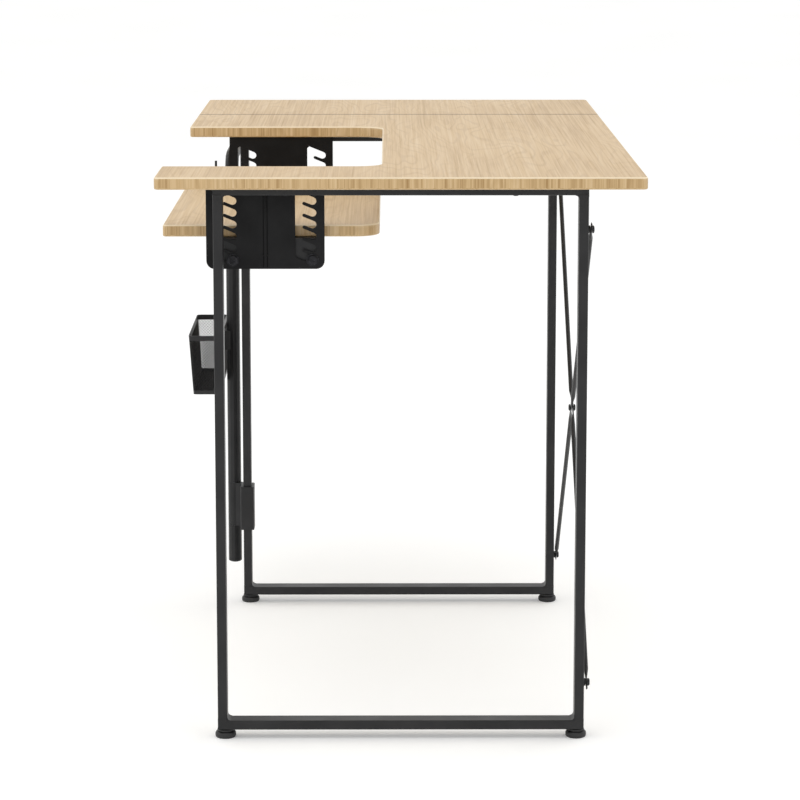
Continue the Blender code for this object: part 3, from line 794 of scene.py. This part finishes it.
class OBJECT_OT_table_welds(bpy.types.Operator):
    """Join each frame's tubes with dressed seams and fillets in the inner corners"""

    bl_idname = "sewing_table.welds"
    bl_label = "Frame Welds"

    seam_half = 2 * MM  # half of a dressed seam's width
    side_gap = 0.8 * MM  # from a fillet's end to the leg's side
    root_leg = 0.5 * MM  # how far a fillet runs into the leg
    root_rail = 1.0 * MM  # how far a fillet runs into the rail

    def execute(self, context):
        s = context.scene.sewing_table.steel
        for side in SIDES:
            bm = bmesh.new()
            for end in ENDS:
                leg_low, leg_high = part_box(f"{side}_leg_{end}")
                centre = (leg_low + leg_high) / 2
                half = (leg_high - leg_low) / 2
                inner_y = centre.y - SIGN[end] * half.y
                for level, joint_z, up in (("bottom", leg_low.z, 1), ("top", leg_high.z, -1)):
                    self.seam(bm, centre, half, joint_z)
                    self.fillet(bm, centre.x, half.x - self.side_gap, inner_y, -SIGN[end], joint_z, up)
            piece(f"{side}_frame_welds", bm, powder_coat(), "table_frame")
        return {"FINISHED"}

    def seam(self, bm, centre, half, joint_z):
        """A band round the leg, where its weld has been ground almost flush."""
        s = bpy.context.scene.sewing_table.steel
        u, v = half.x + s.weld_proud, half.y + s.weld_proud
        corners = [(-u, -v), (u, -v), (u, v), (-u, v)]
        outline = rounded([(centre.x + x, centre.y + y, 1.8 * MM) for x, y in corners], 4)
        faces = extruded(bm, outline, joint_z - self.seam_half, joint_z + self.seam_half)
        edges = {e for f in faces for e in f.edges}
        soften(bm, [e for e in edges if is_level(e)], 0.15 * MM, 2)

    def fillet(self, bm, x, half_width, y, into, z, up):
        """A hollow fillet between the leg's inner face and the rail."""
        r = bpy.context.scene.sewing_table.steel.weld_fillet
        curve = [(y + into * (r - dy), z + up * (r - dz)) for dy, dz in arc((0, 0), r, 0, 90, 6)]
        in_leg = y - into * self.root_leg
        in_rail = z - up * self.root_rail
        outline = [(in_leg, in_rail), (in_leg, z + up * r), *curve, (y + into * r, in_rail)]
        extruded(bm, outline, x - half_width, x + half_width, "X")


class OBJECT_OT_table_plate_ribs(bpy.types.Operator):
    """Press a rib in each comb plate, mark the two spot welds beside it and lay a near-black strip of
    painted crease shade on each side of the rib
    """

    bl_idname = "sewing_table.plate_ribs"
    bl_label = "Plate Ribs"

    # The rib's section, in half widths across and rib heights up
    section = ((-1, 0), (-0.75, 0.55), (-0.4, 0.95), (0, 1.1), (0.4, 0.95), (0.75, 0.55), (1, 0))
    # The plate's face is 0.3 mm behind the plane that the bolts' washers bear on
    sunk = 0.4 * MM  # from that plane back into the plate
    proud = -0.15 * MM  # from that plane to a crease's ridge, just over the face
    end_gap = 3 * MM  # from the rib's ends to the plate's
    spot_across = 3.6 * MM  # from the rib's middle to a spot weld
    spot_up = 18 * MM  # from the plate's lower edge to the spot welds

    def execute(self, context):
        for side in SIDES:
            low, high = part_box(f"{side}_slotted_plate")
            bolt_low, bolt_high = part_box(f"{side}_platform_bolt_1")
            face = bolt_low.x if side == "near" else bolt_high.x
            middle = (low.y + high.y) / 2
            top = high.z - self.end_gap
            self.rib(side, face, middle, low.z, top)
            self.creases(side, face, middle, low.z + 2 * MM, top)
        return {"FINISHED"}

    def rib(self, side, face, middle, base, top):
        s = bpy.context.scene.sewing_table.steel
        out = SIGN[side]
        bm = bmesh.new()
        ridge = [
            (face + out * (up * s.rib_height - self.sunk), middle + across * s.rib_width / 2)
            for across, up in self.section
        ]
        faces = extruded(bm, ridge, base + self.end_gap, top)
        tips = {e for f in faces for e in f.edges if is_level(e)}
        soften(bm, tips, 0.5 * MM, 2)
        bmesh.ops.recalc_face_normals(bm, faces=bm.faces)
        parts = [bm]
        button = [(0, 0.5 * MM), (1.1 * MM, 0.5 * MM), (1.6 * MM, 0), (0, 0)]
        for sign in (-1, 1):
            spot = (face - out * 0.3 * MM, middle + sign * self.spot_across, base + self.spot_up)
            parts.append(standing(spun(button, 16), spot, (out, 0, 0)))
        piece(f"{side}_plate_rib", joined(parts), matt_coat(), "table_frame")

    def creases(self, side, face, middle, base, top):
        """A near-black strip on each side of the rib: painted shade of its creases."""
        s = bpy.context.scene.sewing_table.steel
        half = s.crease / 2
        root = face - SIGN[side] * self.sunk
        tip = face + SIGN[side] * self.proud
        bm = bmesh.new()
        for sign in (-1, 1):
            y = middle + sign * (s.rib_width / 2 + half)
            extruded(bm, [(root, y - half), (root, y + half), (tip, y)], base, top)
        piece(f"{side}_plate_crease_shade_strips", bm, painted_crease_shade(), "table_frame")


class OBJECT_OT_table_bolts(bpy.types.Operator):
    """Make the socket-head bolts of the platform and the brace"""

    bl_idname = "sewing_table.bolts"
    bl_label = "Bolts"

    def execute(self, context):
        s = context.scene.sewing_table.fasteners
        for side in SIDES:
            for number in (1, 2):
                node = f"{side}_platform_bolt_{number}"
                low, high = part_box(node)
                foot = middle_of(node)
                foot.x = low.x if side == "near" else high.x
                bm = socket_head(
                    foot,
                    (SIGN[side], 0, 0),
                    (high.y - low.y) / 2 * 0.80,
                    high.x - low.x - WASHER,
                    s.platform_socket,
                    washer=(high.y - low.y) / 2,
                )
                piece(node + "_head", bm, black_oxide(), body_of(node), (node,))
        for side in SIDES:
            for level in ("high", "low"):
                node = f"brace_bolt_{side}_{level}"
                low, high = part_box(node)
                foot = middle_of(node)
                foot.y = low.y
                radius = (high.x - low.x) / 2
                bm = socket_head(foot, (0, 1, 0), radius, high.y - low.y, radius * 0.75)
                piece(node + "_head", bm, black_oxide(), body_of(node), (node,))
        return {"FINISHED"}


class OBJECT_OT_table_screws(bpy.types.Operator):
    """Drive the screws that hold the top, the hinges and the platform's hangers"""

    bl_idname = "sewing_table.screws"
    bl_label = "Screws"

    rail_screw_y = 0.150  # each way from the middle of a top rail
    hanger_inset = 14 * MM  # from a hanger's outer edge to its screws
    hanger_sheet = 2 * MM  # thickness of a hanger
    wing_inset = 11 * MM  # from a hinge wing's outer edge to its screws
    wing_sheet = 1.5 * MM  # thickness of a hinge wing

    def row(self, x, low, high, steps, z, *head):
        """Heads of one size along Y, each at its share of the way from low to high."""
        y_of = [low.y + (high.y - low.y) * step for step in steps]
        return joined([socket_head((x, y, z), (0, 0, -1), *head) for y in y_of])

    def execute(self, context):
        s = context.scene.sewing_table.fasteners
        screw = (s.screw_radius, s.screw_height, s.screw_radius * 0.65)
        hinge_screw = (3.0 * MM, 1.0 * MM, 2.0 * MM)
        for side in SIDES:
            low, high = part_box(f"{side}_top_rail")
            x = (low.x + high.x) / 2
            points = [(x, sign * self.rail_screw_y, low.z) for sign in (-1, 1)]
            heads = joined([socket_head(point, (0, 0, -1), *screw) for point in points])
            piece(f"{side}_top_screws", heads, black_oxide(), "table_frame")

            hanger = f"{side}_platform_bracket"
            low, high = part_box(hanger)
            x = low.x + self.hanger_inset if side == "near" else high.x - self.hanger_inset
            heads = self.row(x, low, high, (0.22, 0.78), high.z - self.hanger_sheet, *screw)
            name = f"{side}_hanger_screws"
            piece(name, heads, black_oxide(), body_of(hanger))

        for end in ENDS:
            for owner in ("top", "leaf"):
                wing = f"hinge_{end}_{owner}_wing"
                low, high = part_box(wing)
                x = high.x - self.wing_inset if owner == "top" else low.x + self.wing_inset
                z = high.z - self.wing_sheet
                heads = self.row(x, low, high, (0.18, 0.50, 0.82), z, *hinge_screw)
                name = f"hinge_{end}_{owner}_screws"
                piece(name, heads, zinc_plate(), body_of(wing))
        return {"FINISHED"}


class OBJECT_OT_table_feet(bpy.types.Operator):
    """Turn the levelling feet, with a ribbed grip under each tube"""

    bl_idname = "sewing_table.feet"
    bl_label = "Levelling Feet"

    def execute(self, context):
        for side in SIDES:
            for end in ENDS:
                node = f"foot_{side}_{end}"
                low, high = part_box(node)
                centre = (low + high) / 2
                r = (high.x - low.x) / 2
                stem = 4.0 * MM
                # Bottom, rounded puck, waist, collar and stem
                profile = [
                    (0, 0),
                    (r * 0.86, 0),
                    (r * 0.94, 0.6 * MM),
                    (r * 0.98, 1.6 * MM),
                    (r, 3.0 * MM),
                    (r, 5.2 * MM),
                    (r * 0.97, 6.6 * MM),
                    (r * 0.91, 7.7 * MM),
                    (r * 0.84, 8.1 * MM),
                    (r * 0.69, 8.2 * MM),
                    (r * 0.69, 8.9 * MM),
                    (r * 0.79, 9.0 * MM),
                    (r * 0.81, 9.4 * MM),
                    (r * 0.79, 11.2 * MM),
                    (r * 0.76, 11.5 * MM),
                    (stem, 11.5 * MM),
                    (stem, high.z - low.z),
                    (0, high.z - low.z),
                ]
                bm = standing(spun(profile, 40), (centre.x, centre.y, low.z), (0, 0, 1))
                piece(node + "_glide", bm, moulded_plastic(), body_of(node), (node,))
        return {"FINISHED"}


class OBJECT_OT_table_basket(bpy.types.Operator):
    """Weave the basket: diamond mesh walls between a solid rim and a solid base band"""

    bl_idname = "sewing_table.basket"
    bl_label = "Mesh Basket"

    lap = 1 * MM  # how far the mesh runs under the solid bands
    sheet = 1.1 * MM  # thickness of the bands

    def outline(self, z, inset):
        """The basket's outline at a height. Three sides lean in towards the bottom."""
        s = bpy.context.scene.sewing_table.basket
        low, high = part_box("basket")
        lean = s.taper * (high.z - z) / (high.z - low.z) + inset
        y_back = high.y - inset
        return rounded(
            [
                (low.x + lean, y_back, 2 * MM),
                (low.x + lean, low.y + lean, s.front_corner),
                (high.x - lean, low.y + lean, s.front_corner),
                (high.x - lean, y_back, 2 * MM),
            ],
            6,
        )

    def around(self, share, z, inset):
        """The point that share of the way round the outline at a height."""
        points = [Vector(p) for p in self.outline(z, inset)]
        points = [(points[0] + points[-1]) / 2] + points
        points.append(points[0])
        spans = [(b - a).length for a, b in zip(points, points[1:])]
        left = share * sum(spans)
        for a, b, span in zip(points, points[1:], spans):
            if left <= span:
                break
            left -= span
        at = a.lerp(b, min(left / span, 1.0))
        return Vector((at.x, at.y, z))

    def wrap(self, verts, z_low, z_high, inset):
        """Wraps a unit sheet round the basket between two heights."""
        for v in verts:
            z = z_low + (v.co.y + 0.5) * (z_high - z_low)
            v.co = self.around(v.co.x + 0.5, z, inset)

    def diamonds(self, bm, columns, rows):
        """A unit sheet of diamonds: each square is poked, and its own edges are dissolved."""
        bmesh.ops.create_grid(bm, x_segments=columns, y_segments=rows, size=0.5)
        squares = [e for e in bm.edges if len(e.link_faces) == 2]
        bmesh.ops.poke(bm, faces=bm.faces)
        bmesh.ops.dissolve_edges(bm, edges=squares, use_verts=False)

    def execute(self, context):
        s = context.scene.sewing_table.basket
        low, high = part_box("basket")
        coat = powder_coat()
        body = body_of("basket")
        half = s.strand / 2
        rim_low = high.z - s.rim
        band_high = low.z + s.base_band
        round_trip = 2 * (high.x - low.x + high.y - low.y)

        walls = bmesh.new()
        columns = round(round_trip / s.mesh_pitch)
        rows = round((rim_low - band_high) / s.mesh_pitch) + 1
        self.diamonds(walls, columns, rows)
        self.wrap(walls.verts, band_high - self.lap, rim_low + self.lap, half)
        bmesh.ops.remove_doubles(walls, verts=walls.verts, dist=1e-6)
        bmesh.ops.recalc_face_normals(walls, faces=walls.faces)
        self.strands(walls)
        piece("basket_mesh_walls", walls, coat, body, ("basket",), sharp=60)

        floor = bmesh.new()
        columns = round((high.x - low.x - 2 * s.taper) / s.mesh_pitch)
        rows = round((high.y - low.y - s.taper) / s.mesh_pitch)
        self.diamonds(floor, columns, rows)
        inset = s.taper + self.lap
        back = high.y - self.lap
        centre = ((low.x + high.x) / 2, (low.y + inset + back) / 2, low.z + 1.2 * MM)
        size = (high.x - low.x - 2 * inset, back - low.y - inset, 1)
        place = Matrix.Translation(centre) @ Matrix.Diagonal((*size, 1))
        bmesh.ops.transform(floor, matrix=place, verts=floor.verts)
        self.strands(floor)
        piece("basket_mesh_floor", floor, coat, body, sharp=60)

        for name, z_low, z_high in (
            ("basket_rim", rim_low, high.z),
            ("basket_base_band", low.z, band_high),
        ):
            band = bmesh.new()
            bmesh.ops.create_grid(band, x_segments=120, y_segments=2, size=0.5)
            self.wrap(band.verts, z_low, z_high, 0)
            bmesh.ops.remove_doubles(band, verts=band.verts, dist=1e-6)
            bmesh.ops.recalc_face_normals(band, faces=band.faces)
            bmesh.ops.solidify(band, geom=band.faces[:], thickness=self.sheet)
            bmesh.ops.recalc_face_normals(band, faces=band.faces)
            lips = []
            for e in band.edges:
                heights = [v.co.z for v in e.verts]
                at_lip = any(max(abs(z - lip) for z in heights) < 1e-5 for lip in (z_low, z_high))
                if at_lip and len(e.link_faces) == 2 and e.calc_face_angle(0) > 1.0:
                    lips.append(e)
            soften(band, lips, 0.3 * MM, 2)
            piece(name, band, coat, body)
        return {"FINISHED"}

    def strands(self, bm):
        """Turns a sheet's edges into the strands of an expanded mesh."""
        bmesh.ops.wireframe(
            bm,
            faces=bm.faces,
            thickness=bpy.context.scene.sewing_table.basket.strand,
            offset=0.0,
            use_replace=True,
            use_boundary=True,
            use_even_offset=False,
        )


class OBJECT_OT_table_stage(bpy.types.Operator):
    """Set up the camera, the pale floor and the soft studio light"""

    bl_idname = "sewing_table.stage"
    bl_label = "Camera, Floor and Light"

    def execute(self, context):
        scene = context.scene
        s = scene.sewing_table.stage
        self.camera(scene, s)
        self.floor(scene, s)
        self.light(scene, s)
        scene.view_settings.view_transform = "Standard"
        return {"FINISHED"}

    def camera(self, scene, s):
        data = bpy.data.cameras.new("camera")
        data.lens = s.lens
        data.sensor_width = 36
        data.shift_y = s.rise
        data.clip_end = 60
        camera = bpy.data.objects.new("camera", data)
        scene.collection.objects.link(camera)
        camera.location = (s.distance, s.offset, s.height)
        look = Vector((0, 0.001, s.aim_height)) - camera.location
        camera.rotation_euler = look.to_track_quat("-Z", "Y").to_euler()
        scene.camera = camera

    def floor(self, scene, s):
        bm = bmesh.new()
        bmesh.ops.create_grid(bm, x_segments=8, y_segments=8, size=20)
        mesh = bpy.data.meshes.new("studio_floor")
        bm.to_mesh(mesh)
        bm.free()

        def build(tree, shader):
            place = add(tree, "ShaderNodeTexCoord").outputs["Object"]
            cloud = add(tree, "ShaderNodeTexNoise", {"Vector": place, "Scale": 1.5, "Detail": 2})
            tint = add(
                tree,
                "ShaderNodeValToRGB",
                {"Fac": cloud.outputs["Fac"]},
                stops=[(0.3, linear("#F3F3F2")), (0.7, s.floor[:])],
            )
            tree.links.new(tint.outputs["Color"], shader.inputs["Base Color"])
            shader.inputs["Roughness"].default_value = 0.9
            shader.inputs["Specular IOR Level"].default_value = 0.1
            shader.inputs["Emission Color"].default_value = (1, 1, 1, 1)
            shader.inputs["Emission Strength"].default_value = s.floor_glow

        mesh.materials.append(material("matt_white_studio_paper", build))
        floor = bpy.data.objects.new("studio_floor", mesh)
        scene.collection.objects.link(floor)

    def light(self, scene, s):
        world = bpy.data.worlds.new("studio")
        world.use_nodes = True
        scene.world = world
        tree = world.node_tree
        seen = add(tree, "ShaderNodeBackground", {"Color": (1, 1, 1, 1), "Strength": s.backdrop})
        given = add(tree, "ShaderNodeBackground", {"Color": (1, 1, 1, 1), "Strength": s.sky})
        ray = add(tree, "ShaderNodeLightPath")
        mix = add(
            tree,
            "ShaderNodeMixShader",
            {0: ray.outputs["Is Camera Ray"], 1: given.outputs[0], 2: seen.outputs[0]},
        )
        tree.links.new(mix.outputs[0], tree.nodes["World Output"].inputs["Surface"])
        aim = Vector((0, 0, 0.4))
        boxes = {
            "overhead_softbox": ((0.4, 0.0, 3.4), 3.2, 24),
            "camera_side_softbox": ((3.6, -1.6, 2.2), 2.0, 6),
            "front_softbox": ((0.6, -3.4, 2.0), 2.0, 10),
            "back_softbox": ((-1.8, 3.2, 2.4), 2.0, 10),
        }
        for name, (at, size, power) in boxes.items():
            data = bpy.data.lights.new(name, "AREA")
            data.shape = "SQUARE"
            data.size = size
            data.energy = power
            lamp = bpy.data.objects.new(name, data)
            scene.collection.objects.link(lamp)
            lamp.location = at
            lamp.rotation_euler = (aim - Vector(at)).to_track_quat("-Z", "Y").to_euler()


class VIEW3D_PT_sewing_table(bpy.types.Panel):
    """Lists the table's operators in the 3D view's sidebar"""

    bl_label = "Sewing Table"
    bl_idname = "VIEW3D_PT_sewing_table"
    bl_space_type = "VIEW_3D"
    bl_region_type = "UI"
    bl_category = "Sewing Table"

    def draw(self, context):
        for step in OPERATORS:
            self.layout.operator(step.bl_idname)


OPERATORS = (
    OBJECT_OT_table_stage,
    OBJECT_OT_table_frame_finish,
    OBJECT_OT_table_boards,
    OBJECT_OT_table_welds,
    OBJECT_OT_table_plate_ribs,
    OBJECT_OT_table_bolts,
    OBJECT_OT_table_screws,
    OBJECT_OT_table_feet,
    OBJECT_OT_table_basket,
)
CLASSES = (
    BoardSettings,
    SteelSettings,
    BasketSettings,
    FastenerSettings,
    StageSettings,
    TableSettings,
    *OPERATORS,
    VIEW3D_PT_sewing_table,
)


def register():
    for cls in CLASSES:
        bpy.utils.register_class(cls)
    bpy.types.Scene.sewing_table = PointerProperty(type=TableSettings)


def unregister():
    del bpy.types.Scene.sewing_table
    for cls in reversed(CLASSES):
        bpy.utils.unregister_class(cls)


def main():
    register()
    for step in OPERATORS:
        family, name = step.bl_idname.split(".")
        getattr(getattr(bpy.ops, family), name)()


if __name__ == "__main__":
    main()
